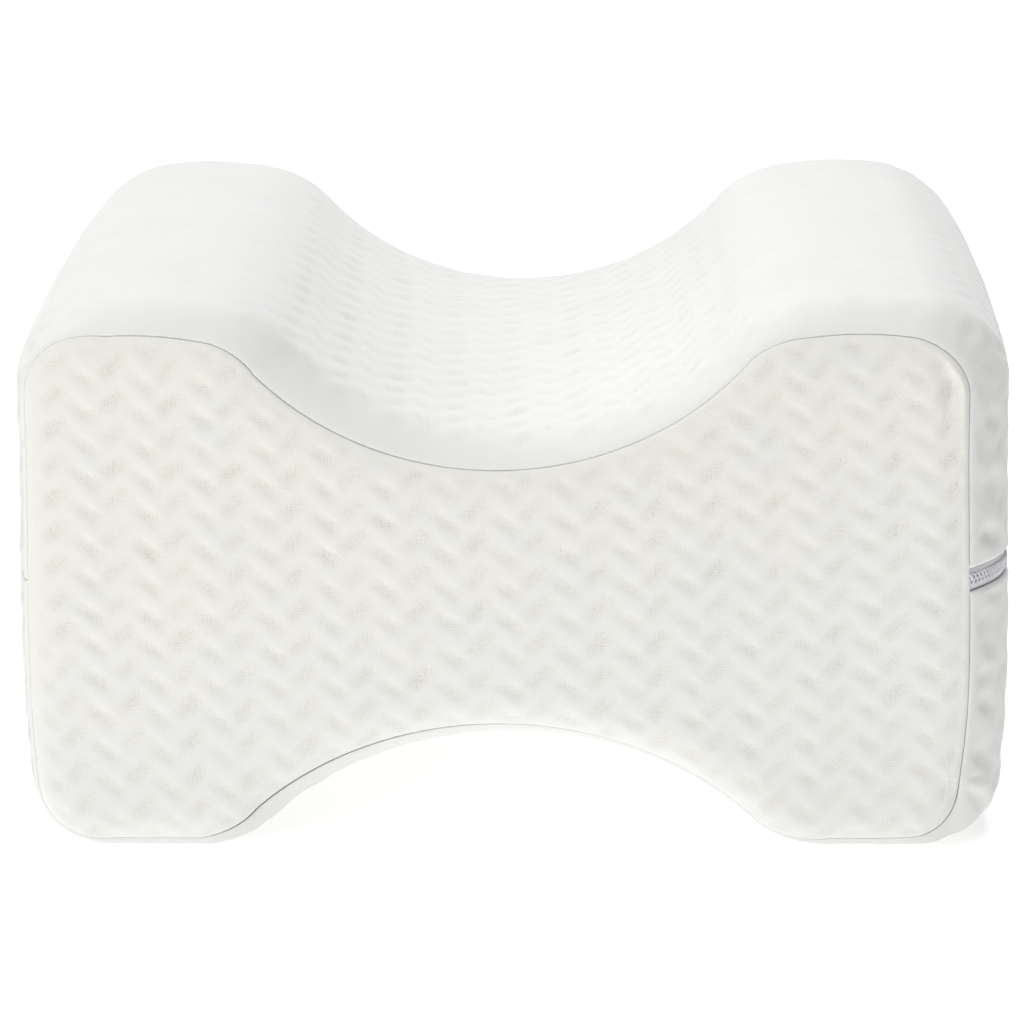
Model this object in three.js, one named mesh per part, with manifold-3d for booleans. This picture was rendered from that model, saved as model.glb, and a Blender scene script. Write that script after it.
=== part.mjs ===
// Knee pillow in a zipped knitted cover: an hourglass section run from front to back, with a leg
// saddle on top and an arch under it.
// Millimetres. +Z is up, +X the right-hand side seen from the front, and -Y the front face.
// The origin is the middle of the base, on the surface that the two feet stand on.
import * as THREE from 'three';
import Module from 'manifold-3d';
import { mergeVertices } from 'three/addons/utils/BufferGeometryUtils.js';

// Overall sizes
const WIDTH = 256;
const HEIGHT = 147.5;
const SEAM_DEPTH = 170;

// The section, drawn as arcs that meet tangent and then widened to the overall width: a radius, and
// the slope in degrees where the arc ends
const SADDLE = { radius: 63, slope: 51 };
const SHOULDER = { radius: 28, slope: 11.6 };
const LOBE = { radius: 81, outerSlope: 7 };
const OUTER_CORNER_RADIUS = 25.5;
const ARCH = { radius: 78, slope: 46.5 };
const INNER_FOOT_RADIUS = 23;
const FOOT_FLAT = 20;
const FOOT_CORNER_RADIUS = 21.5;
const LOWER_SIDE_LEAN = 3.4;

// How the cover is drawn in towards its two seams, measured along the section's normal
const CROWN = { top: 2.6, side: 2 };
const CROWN_POWER = 2.2;
const EDGE_LENGTH = { top: 4, side: 18 };
const FRONT_EDGE = { top: 6.8, low: 2.4, side: 6.5, leftward: 3.7, upperLeftCorner: 1 };
const REAR_EDGE = { top: 8.4, low: 2.4, side: 8.4, leftward: 0, upperLeftCorner: 0 };
const SEAM_TUCK = 3;

// The knitted end panels
const PANEL_BULGE = 2;
const PANEL_THICKNESS = 2.5;
const LIP = 10;
const GAP = 0.3;

// The zip across the right-hand side, from seam to seam
const ZIP_HEIGHT = 74.3;
const ZIP_CHANNEL = { low: -3.1, high: 3.1, under: -2.4, over: 20 };
const UPPER_TAPE = { low: 1.75, high: 2.8, under: -2.1, over: -1.1 };
const LOWER_TAPE = { low: -2.8, high: -1.75, under: -2.1, over: -1.1 };
const COIL = { low: -1.45, high: 1.45, under: -2.1, over: -0.55 };
const ZIP_END = 0.983;
const CHANNEL_END = 1.03;

// The slider, parked at the closed end of the zip beside the rear seam
const SLIDER = { centre: 0.84, length: 9, low: -2.5, high: 2.5, under: -0.2, over: 2.1 };
const PULL = { half: 2, length: 20, thickness: 0.9, droop: 1.4 };

// How finely it is divided: steps of each arc, and the rings from the front seam (-1) to the rear (1)
const STEPS = { saddle: 8, shoulder: 4, lobe: 3, corner: 6, side: 6, footCorner: 5, innerFoot: 4, arch: 8 };
const BAND_STATIONS = [-1, -0.985, -0.955, -0.9, -0.79, -0.55, -0.28, 0, 0.28, 0.55, 0.79, 0.9, 0.955, 0.985, 1];
const ZIP_STEPS = 26;
const SLIDER_STEPS = 3;

const wasm = await Module();
wasm.setup();

// Section

const radians = THREE.MathUtils.degToRad;

/** A chain of section points with outward normals, drawn like a pen that moves on and turns. */
class Pen {
  constructor(x, z, heading, outward) {
    this.at = new THREE.Vector2(x, z);
    this.heading = radians(heading);
    this.outward = outward;
    this.points = [];
    this.mark();
  }

  direction() {
    return new THREE.Vector2(Math.cos(this.heading), Math.sin(this.heading));
  }

  mark() {
    const along = this.direction();
    const normal = new THREE.Vector2(along.y, -along.x).multiplyScalar(this.outward);
    this.points.push({ x: this.at.x, z: this.at.y, normal });
  }

  /** Goes round an arc, to the left for a positive turn. */
  bend(radius, turn, steps) {
    const step = radians(turn) / steps;
    for (let i = 0; i < steps; i += 1) {
      const chord = 2 * radius * Math.sin(Math.abs(step) / 2);
      this.heading += step / 2;
      this.at.addScaledVector(this.direction(), chord);
      this.heading += step / 2;
      this.mark();
    }
    return this;
  }

  straight(length) {
    this.at.addScaledVector(this.direction(), length);
    this.mark();
    return this;
  }
}

/** Height that an arc climbs between two slopes, in degrees. */
function climb(radius, fromSlope, toSlope) {
  return radius * Math.abs(Math.cos(radians(fromSlope)) - Math.cos(radians(toSlope)));
}

/** The right half of the section, from the top of the arch round the side to the saddle's floor. */
function halfSection() {
  const archTop = climb(ARCH.radius + INNER_FOOT_RADIUS, 0, ARCH.slope);
  const saddleFloor = HEIGHT
    - climb(SADDLE.radius, 0, SADDLE.slope)
    - climb(SHOULDER.radius, SHOULDER.slope, SADDLE.slope)
    - climb(LOBE.radius, 0, SHOULDER.slope);
  const lower = new Pen(0, archTop, 0, 1)
    .bend(ARCH.radius, -ARCH.slope, STEPS.arch)
    .bend(INNER_FOOT_RADIUS, ARCH.slope, STEPS.innerFoot)
    .straight(FOOT_FLAT)
    .bend(FOOT_CORNER_RADIUS, 90 - LOWER_SIDE_LEAN, STEPS.footCorner);
  const upper = new Pen(0, saddleFloor, 0, -1)
    .bend(SADDLE.radius, SADDLE.slope, STEPS.saddle)
    .bend(SHOULDER.radius, SHOULDER.slope - SADDLE.slope, STEPS.shoulder)
    .bend(LOBE.radius, -SHOULDER.slope - LOBE.outerSlope, STEPS.lobe)
    .bend(OUTER_CORNER_RADIUS, LOBE.outerSlope - 90, STEPS.corner);
  return [...lower.points, ...sidePoints(lower, upper), ...upper.points.reverse()];
}

/** The side between the foot's corner and the lobe's corner, one cubic tangent to both. */
function sidePoints(lower, upper) {
  const reach = lower.at.distanceTo(upper.at) / 3;
  const curve = new THREE.CubicBezierCurve(
    lower.at,
    lower.at.clone().addScaledVector(lower.direction(), reach),
    upper.at.clone().addScaledVector(upper.direction(), reach),
    upper.at,
  );
  const points = [];
  for (let i = 1; i < STEPS.side; i += 1) {
    const at = curve.getPoint(i / STEPS.side);
    const along = curve.getTangent(i / STEPS.side);
    points.push({ x: at.x, z: at.y, normal: new THREE.Vector2(along.y, -along.x) });
  }
  return points;
}

/** The whole section, anticlockwise seen from the front, widened to the overall width. */
function wholeSection() {
  const right = halfSection();
  const left = right.slice(1, -1).reverse().map((p) => (
    { x: -p.x, z: p.z, normal: new THREE.Vector2(-p.normal.x, p.normal.y) }));
  const widen = WIDTH / 2 / Math.max(...right.map((p) => p.x));
  return [...right, ...left].map((p) => {
    const normal = new THREE.Vector2(p.normal.x / widen, p.normal.y).normalize();
    const wide = { x: p.x * widen, z: p.z, normal };
    return { ...wide, ...shares(wide) };
  });
}

/** How much a section point belongs to the top, the underside and an outer side. */
function shares(p) {
  const side = Math.max(p.normal.x * Math.sign(p.x), 0) ** 2;
  const high = p.z > HEIGHT / 2;
  return { top: high ? 1 - side : 0, low: high ? 0 : 1 - side, side };
}

const section = wholeSection();

// The cover's surface, from the section and the way it is drawn in

/** How far a seam is drawn in at a section point. The front one also sits a little to the left. */
function edgeInset(p, edge) {
  const upperLeft = p.x < 0 ? 4 * p.top * p.side : 0;
  return p.top * edge.top + p.low * edge.low + p.side * edge.side + p.normal.x * edge.leftward
    - upperLeft * edge.upperLeftCorner;
}

function crownInset(p) {
  return p.top * CROWN.top + p.side * CROWN.side;
}

/** The seam's distance from the middle plane; under the feet it is tucked back. */
function seamDepth(p) {
  return SEAM_DEPTH / 2 - SEAM_TUCK * p.low;
}

/** The band's inset at a station from -1 at the front seam to 1 at the rear one. */
function bandInset(p, station) {
  const edge = station < 0 ? FRONT_EDGE : REAR_EDGE;
  const length = THREE.MathUtils.lerp(EDGE_LENGTH.top, EDGE_LENGTH.side, p.side) / (SEAM_DEPTH / 2);
  const into = Math.max(Math.abs(station) - 1 + length, 0) / length;
  return edgeInset(p, edge) * into ** 2 + crownInset(p) * Math.abs(station) ** CROWN_POWER;
}

/** A ring of points, each moved in along its normal and put at its own depth. */
function ring(inset, depth) {
  return section.map((p) => {
    const by = inset(p);
    return new THREE.Vector3(p.x - p.normal.x * by, depth(p), p.z - p.normal.y * by);
  });
}

/** A quarter of an ellipse as a fraction of its rise: steep at first, then level. */
function rounding(t) {
  return Math.sqrt(1 - (1 - t) ** 2);
}

// Closed bodies from rings

/** Joins rings into one closed body; the first and last are flat and are filled in. */
function bodyFromRings(rings) {
  const count = rings[0].length;
  const positions = rings.flat().flatMap((p) => [p.x, p.y, p.z]);
  const faces = [];
  for (let k = 0; k + 1 < rings.length; k += 1) {
    for (let i = 0; i < count; i += 1) {
      const j = (i + 1) % count;
      const a = k * count + i;
      const b = k * count + j;
      const c = (k + 1) * count + j;
      const d = (k + 1) * count + i;
      faces.push(a, b, c, a, c, d);
    }
  }
  faces.push(...filledRing(rings[0], 0, false));
  faces.push(...filledRing(rings.at(-1), (rings.length - 1) * count, true));
  const geometry = new THREE.BufferGeometry();
  geometry.setAttribute('position', new THREE.Float32BufferAttribute(positions, 3));
  geometry.setIndex(faces);
  return facingOut(geometry);
}

/** Triangles that fill a flat ring, wound as the ring at a body's far end and against it at the near one. */
function filledRing(points, first, far) {
  const outline = points.map((p) => new THREE.Vector2(p.x, p.z));
  const { isClockWise, triangulateShape } = THREE.ShapeUtils;
  const triangles = triangulateShape(outline, []);
  const along = isClockWise(outline) === isClockWise(triangles[0].map((i) => outline[i]));
  return triangles.flatMap(([a, b, c]) => (
    along === far ? [first + a, first + b, first + c] : [first + a, first + c, first + b]));
}

/** Turns every face over if the body's volume comes out negative. */
function facingOut(geometry) {
  const at = geometry.getAttribute('position');
  const index = geometry.getIndex();
  const corners = [new THREE.Vector3(), new THREE.Vector3(), new THREE.Vector3()];
  let volume = 0;
  for (let i = 0; i < index.count; i += 3) {
    corners.forEach((corner, k) => corner.fromBufferAttribute(at, index.getX(i + k)));
    volume += corners[0].dot(corners[1].clone().cross(corners[2]));
  }
  if (volume < 0) {
    for (let i = 0; i < index.count; i += 3) {
      const second = index.getX(i + 1);
      index.setX(i + 1, index.getX(i + 2));
      index.setX(i + 2, second);
    }
  }
  return geometry;
}

/** A geometry as a solid for cutting and joining. */
function solid(geometry) {
  const merged = mergeVertices(geometry);
  return new wasm.Manifold(new wasm.Mesh({
    numProp: 3,
    vertProperties: new Float32Array(merged.getAttribute('position').array),
    triVerts: new Uint32Array(merged.getIndex().array),
  }));
}

/** The geometry of a solid after cutting and joining. */
function geometryOf(cut) {
  const mesh = cut.getMesh();
  const geometry = new THREE.BufferGeometry();
  geometry.setAttribute('position', new THREE.Float32BufferAttribute(mesh.vertProperties, 3));
  geometry.setIndex(new THREE.Uint32BufferAttribute(mesh.triVerts, 1));
  return geometry;
}

// The end panels: a skin with a rounded lip, and the filled body's end just behind it

const SKIN_STEPS = [0, 0.05, 0.2, 0.5, 1];
const BACK_STEPS = [0, 0.15, 0.5, 1];
const FACE_DEPTH = SEAM_DEPTH / 2 + PANEL_BULGE;

function panelFace(side, edge) {
  return SKIN_STEPS.map((t) => ring(
    (p) => edgeInset(p, edge) + crownInset(p) + LIP * t,
    (p) => side * (seamDepth(p) + (FACE_DEPTH - seamDepth(p)) * rounding(t)),
  ));
}

/** The inside of a panel, or with a gap the end of the filled body behind it. */
function panelBack(side, edge, gap) {
  const level = FACE_DEPTH - PANEL_THICKNESS;
  return BACK_STEPS.map((t) => ring(
    (p) => edgeInset(p, edge) + crownInset(p) + PANEL_THICKNESS + (LIP - PANEL_THICKNESS) * t + gap,
    (p) => {
      const rim = Math.min(seamDepth(p), level);
      return side * (rim + (level - rim) * rounding(t) - gap);
    },
  ));
}

function endPanel(side, edge) {
  return bodyFromRings([...panelFace(side, edge).reverse(), ...panelBack(side, edge, 0)]);
}

// The filled body in its band, with the zip's channel cut across the right-hand side

function filledBody() {
  const band = BAND_STATIONS.map((station) => ring(
    (p) => bandInset(p, station),
    (p) => station * (seamDepth(p) - GAP),
  ));
  const whole = bodyFromRings([
    ...panelBack(-1, FRONT_EDGE, GAP).reverse(),
    ...band,
    ...panelBack(1, REAR_EDGE, GAP),
  ]);
  const channel = sweptBar(CHANNEL_STATIONS, ZIP_CHANNEL);
  return geometryOf(solid(whole).subtract(solid(channel)));
}

// The zip follows the bulge of the right-hand side

/** The section's right-hand side at a height, between the two points on either side of it. */
function rightSideAt(z) {
  const side = section.filter((p) => p.side > 0.5 && p.x > 0).sort((a, b) => a.z - b.z);
  const above = side.findIndex((p) => p.z > z);
  const [a, b] = [side[above - 1], side[above]];
  const t = (z - a.z) / (b.z - a.z);
  const normal = a.normal.clone().lerp(b.normal, t);
  return { x: THREE.MathUtils.lerp(a.x, b.x, t), z, normal, top: 0, low: 0, side: 1 };
}

/** A point over the right-hand side: its station, its height from the zip's line, and its lift. */
function overSide(station, height, lift) {
  const p = rightSideAt(ZIP_HEIGHT + height);
  const out = lift - bandInset(p, station);
  return new THREE.Vector3(
    p.x + p.normal.x * out,
    station * (SEAM_DEPTH / 2 - GAP),
    p.z + p.normal.y * out,
  );
}

/** Evenly spread stations from one to another. */
function stationsBetween(from, to, steps) {
  return Array.from({ length: steps + 1 }, (_, k) => THREE.MathUtils.lerp(from, to, k / steps));
}

const ZIP_STATIONS = stationsBetween(-ZIP_END, ZIP_END, ZIP_STEPS);
const CHANNEL_STATIONS = [-CHANNEL_END, ...ZIP_STATIONS, CHANNEL_END];

/** A bar of rectangular section that follows the side through the stations. */
function sweptBar(stations, { low, high, under, over }) {
  const corners = [[low, under], [high, under], [high, over], [low, over]];
  const positions = stations.flatMap((station) => (
    corners.flatMap(([height, lift]) => overSide(station, height, lift).toArray())));
  const last = (stations.length - 1) * 4;
  const faces = [0, 2, 1, 0, 3, 2, last, last + 1, last + 2, last, last + 2, last + 3];
  for (let k = 0; k < last; k += 4) {
    for (let i = 0; i < 4; i += 1) {
      const a = k + i;
      const b = k + (i + 1) % 4;
      faces.push(a, b, b + 4, a, b + 4, a + 4);
    }
  }
  const geometry = new THREE.BufferGeometry();
  geometry.setAttribute('position', new THREE.Float32BufferAttribute(positions, 3));
  geometry.setIndex(faces);
  return facingOut(geometry);
}

/** The slider's body over the coil, with its pull hanging down over the lower tape. */
function slider() {
  const half = SLIDER.length / SEAM_DEPTH;
  const body = sweptBar(stationsBetween(SLIDER.centre - half, SLIDER.centre + half, SLIDER_STEPS), SLIDER);
  const outline = new THREE.Shape();
  outline.moveTo(-PULL.half, 0);
  outline.lineTo(PULL.half, 0);
  outline.lineTo(PULL.half, PULL.length - PULL.half);
  outline.absarc(0, PULL.length - PULL.half, PULL.half, 0, Math.PI, false);
  const tab = new THREE.ExtrudeGeometry(outline, {
    depth: PULL.thickness, bevelEnabled: false, curveSegments: 5,
  });
  tab.deleteAttribute('normal');
  tab.deleteAttribute('uv');
  const hook = overSide(SLIDER.centre, 0, SLIDER.over - PULL.thickness / 2);
  const foot = overSide(SLIDER.centre, -PULL.length, PULL.droop);
  const down = foot.clone().sub(hook).normalize();
  const ahead = overSide(SLIDER.centre + half, 0, 0);
  const across = ahead.sub(overSide(SLIDER.centre - half, 0, 0)).normalize();
  const out = across.clone().cross(down).normalize();
  across.crossVectors(down, out);
  tab.applyMatrix4(new THREE.Matrix4().makeBasis(across, down, out).setPosition(hook));
  return geometryOf(solid(body).add(solid(tab)));
}

// Materials and the parts in their places

const knit = { color: 0xefede6, roughness: 0.95, metalness: 0 };
const nylonTape = { color: 0xc4c3c8, roughness: 0.85, metalness: 0 };
const nylonCoil = { color: 0xd2d1d4, roughness: 0.5, metalness: 0 };
const enamel = { color: 0xdcdcde, roughness: 0.4, metalness: 0.3 };

const group = new THREE.Group();

function add(name, geometry, finish) {
  const mesh = new THREE.Mesh(geometry, new THREE.MeshStandardMaterial(finish));
  mesh.name = name;
  group.add(mesh);
}

add('filled_body', filledBody(), knit);
add('front_panel', endPanel(-1, FRONT_EDGE), knit);
add('rear_panel', endPanel(1, REAR_EDGE), knit);
add('zip_tape_upper', sweptBar(ZIP_STATIONS, UPPER_TAPE), nylonTape);
add('zip_tape_lower', sweptBar(ZIP_STATIONS, LOWER_TAPE), nylonTape);
add('zip_coil', sweptBar(ZIP_STATIONS, COIL), nylonCoil);
add('zip_slider', slider(), enamel);

export default group;
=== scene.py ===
import bpy
import numpy as np
from mathutils import Matrix, Vector


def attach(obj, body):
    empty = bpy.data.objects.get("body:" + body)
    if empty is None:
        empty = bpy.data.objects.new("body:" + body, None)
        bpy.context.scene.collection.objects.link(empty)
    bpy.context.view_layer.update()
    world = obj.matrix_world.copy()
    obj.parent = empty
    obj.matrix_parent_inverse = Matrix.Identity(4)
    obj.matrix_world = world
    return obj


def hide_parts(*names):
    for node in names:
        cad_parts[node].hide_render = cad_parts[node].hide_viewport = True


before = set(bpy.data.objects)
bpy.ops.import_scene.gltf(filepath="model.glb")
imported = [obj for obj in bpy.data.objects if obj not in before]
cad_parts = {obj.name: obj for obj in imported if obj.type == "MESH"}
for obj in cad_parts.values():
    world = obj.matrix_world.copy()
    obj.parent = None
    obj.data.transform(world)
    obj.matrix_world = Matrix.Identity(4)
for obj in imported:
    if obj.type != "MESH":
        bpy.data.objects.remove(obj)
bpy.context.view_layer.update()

# The filled body. It is one block of moulded foam with an hourglass section, inside a boxing band of
# white knit. The band is drawn tight over the foam, sewn to the end panels, and closed by a zip.
# Sizes from here on are millimetres; new_piece turns them into metres.

MM = 0.001
WIDTH = 256.0
HEIGHT = 147.5
SEAM_DEPTH = 170.0
SADDLE_RADIUS, SADDLE_SLOPE = 63.0, 51.0
SHOULDER_RADIUS, SHOULDER_SLOPE = 28.0, 11.6
LOBE_RADIUS, LOBE_OUTER_SLOPE = 81.0, 7.0
OUTER_CORNER_RADIUS = 25.5
ARCH_RADIUS, ARCH_SLOPE = 78.0, 46.5
INNER_FOOT_RADIUS = 23.0
FOOT_FLAT = 20.0
FOOT_CORNER_RADIUS = 21.5
LOWER_SIDE_LEAN = 3.4
ZIP_HEIGHT = 74.3

CROWN = {"top": 2.6, "low": 0.0, "side": 2.0}
CROWN_POWER = 2.2
FRONT_LENGTH = {"top": 11.5, "low": 4.0, "side": 18.0}
REAR_LENGTH = {"top": 5.0, "low": 4.0, "side": 18.0}
FRONT_EDGE = {"top": 6.8, "low": 2.4, "side": 6.5, "leftward": 3.7, "corner": 1.0,
              "foot": 1.0, "sole": 5.0}
REAR_EDGE = {"top": 8.4, "low": 2.4, "side": 8.4, "leftward": 0.0, "corner": 0.0,
             "foot": 0.0, "sole": 0.0}
FOOT_PLACE, FOOT_REACH = 60.0, 18.0
SEAM_TUCK = 3.0


def arc(x, z, heading, radius, turn, steps=120):
    """Points round an arc: the centre lies at the radius to the left of the heading, or to the right
    for a negative turn, and each point is the centre plus the radius times the turned direction."""
    angle = np.radians(heading + turn * np.linspace(0, 1, steps + 1))
    side = np.sign(turn)
    xs = x + side * radius * (np.sin(angle) - np.sin(angle[0]))
    zs = z - side * radius * (np.cos(angle) - np.cos(angle[0]))
    return np.stack([xs, zs, angle])


def climb(radius, low_slope, high_slope):
    """Height between two slopes of an arc: the radius times the difference of their cosines."""
    return radius * (np.cos(np.radians(low_slope)) - np.cos(np.radians(high_slope)))


def side_curve(low, high, steps=160):
    """A cubic between the foot's corner and the lobe's corner, leaving and arriving along their
    headings, with handles a third of the distance long."""
    start, end = low[:2, -1], high[:2, -1]
    reach = np.hypot(*(end - start)) / 3
    first = start + reach * np.array([np.cos(low[2, -1]), np.sin(low[2, -1])])
    second = end + reach * np.array([np.cos(high[2, -1]), np.sin(high[2, -1])])
    t = np.linspace(0, 1, steps)[:, None]
    at = (1 - t) ** 3 * start + 3 * t * (1 - t) ** 2 * first + 3 * t * t * (1 - t) * second + t ** 3 * end
    slope = (1 - t) ** 2 * (first - start) + 2 * t * (1 - t) * (second - first) + t * t * (end - second)
    return np.stack([at[:, 0], at[:, 1], np.arctan2(slope[:, 1], slope[:, 0])])


def body_outline():
    """The section, anticlockwise from the zip's line on the right-hand side: arcs that meet tangent,
    mirrored to the left and widened to the overall width. Gives each point's place, its outward
    normal, and the perimeter up to it."""
    arch_top = climb(ARCH_RADIUS + INNER_FOOT_RADIUS, 0, ARCH_SLOPE)
    floor = HEIGHT - climb(SADDLE_RADIUS, 0, SADDLE_SLOPE)
    floor -= climb(SHOULDER_RADIUS, SHOULDER_SLOPE, SADDLE_SLOPE) + climb(LOBE_RADIUS, 0, SHOULDER_SLOPE)
    low = arc(0, arch_top, 0, ARCH_RADIUS, -ARCH_SLOPE)
    low = np.hstack([low, arc(*low[:2, -1], -ARCH_SLOPE, INNER_FOOT_RADIUS, ARCH_SLOPE)])
    corner = low[:2, -1] + (FOOT_FLAT, 0)
    low = np.hstack([low, arc(*corner, 0, FOOT_CORNER_RADIUS, 90 - LOWER_SIDE_LEAN)])
    high = arc(0, floor, 0, SADDLE_RADIUS, SADDLE_SLOPE)
    for heading, radius, turn in ((SADDLE_SLOPE, SHOULDER_RADIUS, SHOULDER_SLOPE - SADDLE_SLOPE),
                                  (SHOULDER_SLOPE, LOBE_RADIUS, -SHOULDER_SLOPE - LOBE_OUTER_SLOPE),
                                  (-LOBE_OUTER_SLOPE, OUTER_CORNER_RADIUS, LOBE_OUTER_SLOPE - 90)):
        high = np.hstack([high, arc(*high[:2, -1], heading, radius, turn)])
    side = side_curve(low, high)
    high[2] += np.pi
    right = np.hstack([low, side, high[:, ::-1]])
    widen = WIDTH / 2 / right[0].max()
    x, z, heading = right
    x = x * widen
    nx, nz = np.sin(heading) / widen, -np.cos(heading)
    size = np.hypot(nx, nz)
    nx, nz = nx / size, nz / size
    loop = np.hstack([np.stack([x, z, nx, nz]), np.stack([-x, z, -nx, nz])[:, -2:0:-1]])
    loop = loop[:, np.r_[True, np.hypot(*np.diff(loop[:2])) > 1e-6]]
    first = np.argmax((loop[0] > 0) & (loop[1] > ZIP_HEIGHT))
    start = loop[:, first - 1] + (loop[:, first] - loop[:, first - 1]) * (
        (ZIP_HEIGHT - loop[1, first - 1]) / (loop[1, first] - loop[1, first - 1]))
    loop = np.hstack([start[:, None], loop[:, first:], loop[:, :first], start[:, None]])
    return loop, np.r_[0, np.cumsum(np.hypot(*np.diff(loop[:2])))]


OUTLINE, PERIMETER = body_outline()
AROUND = PERIMETER[-1]
ON_LEFT = OUTLINE[0] < 0
LEFT_SEAM = np.interp(0, (OUTLINE[1] - ZIP_HEIGHT)[ON_LEFT][::-1], PERIMETER[ON_LEFT][::-1])


def outline_at(perimeter):
    """Place, normal and shares at perimeter positions. The side's share is the square of how far the
    normal points away from the middle; the rest belongs to the top or to the underside. The right
    foot's share is a bell along the perimeter round its corner, below the zip's line."""
    x, z, nx, nz = (np.interp(perimeter % AROUND, PERIMETER, row) for row in OUTLINE)
    side = np.clip(nx * np.sign(x), 0, 1) ** 2
    top = np.where(z > HEIGHT / 2, 1 - side, 0)
    return {"x": x, "z": z, "nx": nx, "nz": nz, "side": side, "top": top, "low": 1 - side - top,
            "foot": np.exp(-((AROUND - perimeter % AROUND - FOOT_PLACE) / FOOT_REACH) ** 2)}


def shared(at, sizes):
    """A size that differs between the top, the underside and the sides, mixed by their shares."""
    return sum(at[name] * sizes[name] for name in ("top", "low", "side"))


def edge_inset(at, edge):
    """How far a seam is drawn in: by its shares, a little leftward, less at the upper left corner, by
    four times the product of the shares that meet there, and more at the right foot and its sole."""
    corner = 4 * at["top"] * at["side"] * (at["x"] < 0)
    drawn = shared(at, edge) + at["nx"] * edge["leftward"]
    return drawn - corner * edge["corner"] + at["foot"] * (edge["foot"] + at["low"] * edge["sole"])


def seam_depth(at):
    """Half the depth from seam to seam, which is less on the underside by the tuck."""
    return SEAM_DEPTH / 2 - SEAM_TUCK * at["low"]


def cover(perimeter, station, lift):
    """Points over the band: the outline's point moved in along its normal by a crown that grows with
    the power of the station, and by the square of the way into the drawn-in edge, then out by the
    lift. The station runs from -1 at the front seam to 1 at the rear one."""
    at = outline_at(perimeter)
    length = np.where(station < 0, shared(at, FRONT_LENGTH), shared(at, REAR_LENGTH)) / (SEAM_DEPTH / 2)
    into = np.maximum(np.abs(station) - 1 + length, 0) / length
    edge = np.where(station < 0, edge_inset(at, FRONT_EDGE), edge_inset(at, REAR_EDGE))
    inset = edge * into ** 2 + shared(at, CROWN) * np.abs(station) ** CROWN_POWER - lift
    return np.stack([at["x"] - at["nx"] * inset, station * seam_depth(at), at["z"] - at["nz"] * inset], -1)


# The knit is two-faced, with pits where both faces are bound together: a long one that leans right
# and a short one that leans left, in turn, which leaves a raised zigzag between them.
RIGHT_PIT = {"columns": 0.0, "rows": 0.0, "slant": 45.0,
             "half_length": 4.2, "half_width": 1.75, "depth": 1.0}
LEFT_PIT = {"columns": 0.5, "rows": 0.44, "slant": -34.0,
            "half_length": 3.7, "half_width": 1.6, "depth": 0.85}
PIT_POWER = 2.8
PIT_WALL = 2.4
WANDER_ACROSS, WANDER_UP = 0.45, 0.35
ACROSS_SPACING, UP_SPACING = 38.0, 31.0
PIT_VARIETY, VARIETY_SPACING = 0.22, 13.0


def unevenness(u, v, spacing, seed):
    """Soft unevenness of about that spacing, mostly between -1 and 1: seven sine waves that run in
    seeded directions, added up."""
    draw = np.random.default_rng(seed)
    angle, phase = draw.uniform(0, 2 * np.pi, (2, 7))
    length = spacing * draw.uniform(0.8, 1.7, 7)
    way = u[..., None] * np.cos(angle) + v[..., None] * np.sin(angle)
    return np.sin(2 * np.pi * way / length + phase).sum(-1) / 3.5


def knit_pits(across, up, column, row, first, seed):
    """How deep the knit is sunk, from 0 to 1. The place wanders a little, and is put in units of the
    repeat's two steps. The distance to the nearest pit of each kind is measured along and across
    its slant as a power mean, and the depth halves at its rim."""
    across = across + WANDER_ACROSS * unevenness(across, up, ACROSS_SPACING, seed)
    up = up + WANDER_UP * unevenness(across, up, UP_SPACING, seed + 1)
    turned = column[0] * row[1] - column[1] * row[0]
    u = ((across - first[0]) * row[1] - (up - first[1]) * row[0]) / turned
    v = ((up - first[1]) * column[0] - (across - first[0]) * column[1]) / turned
    sunk = np.zeros_like(across)
    for pit in (RIGHT_PIT, LEFT_PIT):
        du = (u - pit["columns"] + 0.5) % 1 - 0.5
        dv = (v - pit["rows"] + 0.5) % 1 - 0.5
        slant = np.radians(pit["slant"])
        for neighbour in (-1, 0, 1):
            a = du * column[0] + (dv + neighbour) * row[0]
            b = du * column[1] + (dv + neighbour) * row[1]
            along = np.abs(a * np.cos(slant) + b * np.sin(slant)) / pit["half_length"]
            over = np.abs(b * np.cos(slant) - a * np.sin(slant)) / pit["half_width"]
            way = (along ** PIT_POWER + over ** PIT_POWER) ** (1 / PIT_POWER)
            sunk += pit["depth"] * np.exp2(-way ** PIT_WALL)
    return sunk * (1 + PIT_VARIETY * unevenness(across, up, VARIETY_SPACING, seed + 2))


def smooth(low, high, value):
    """0 below the low end, 1 above the high end, and an even S between them."""
    t = np.clip((value - low) / (high - low), 0, 1)
    return t * t * (3 - 2 * t)


def new_piece(name, points, faces, smooth_shaded=True):
    """A mesh in metres from points in millimetres and a list of face tables, one row a face."""
    mesh = bpy.data.meshes.new(name)
    points = np.asarray(points, np.float32).reshape(-1, 3) * MM
    corners = np.concatenate([f.ravel() for f in faces])
    sizes = np.concatenate([np.full(len(f), f.shape[1]) for f in faces])
    mesh.vertices.add(len(points))
    mesh.vertices.foreach_set("co", points.ravel())
    mesh.loops.add(len(corners))
    mesh.loops.foreach_set("vertex_index", corners.astype(np.int32))
    mesh.polygons.add(len(sizes))
    mesh.polygons.foreach_set("loop_start", np.r_[0, np.cumsum(sizes)[:-1]].astype(np.int32))
    mesh.polygons.foreach_set("loop_total", sizes.astype(np.int32))
    mesh.update(calc_edges=True)
    mesh.polygons.foreach_set("use_smooth", np.full(len(sizes), smooth_shaded))
    piece = bpy.data.objects.new(name, mesh)
    bpy.context.scene.collection.objects.link(piece)
    return piece


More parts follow.
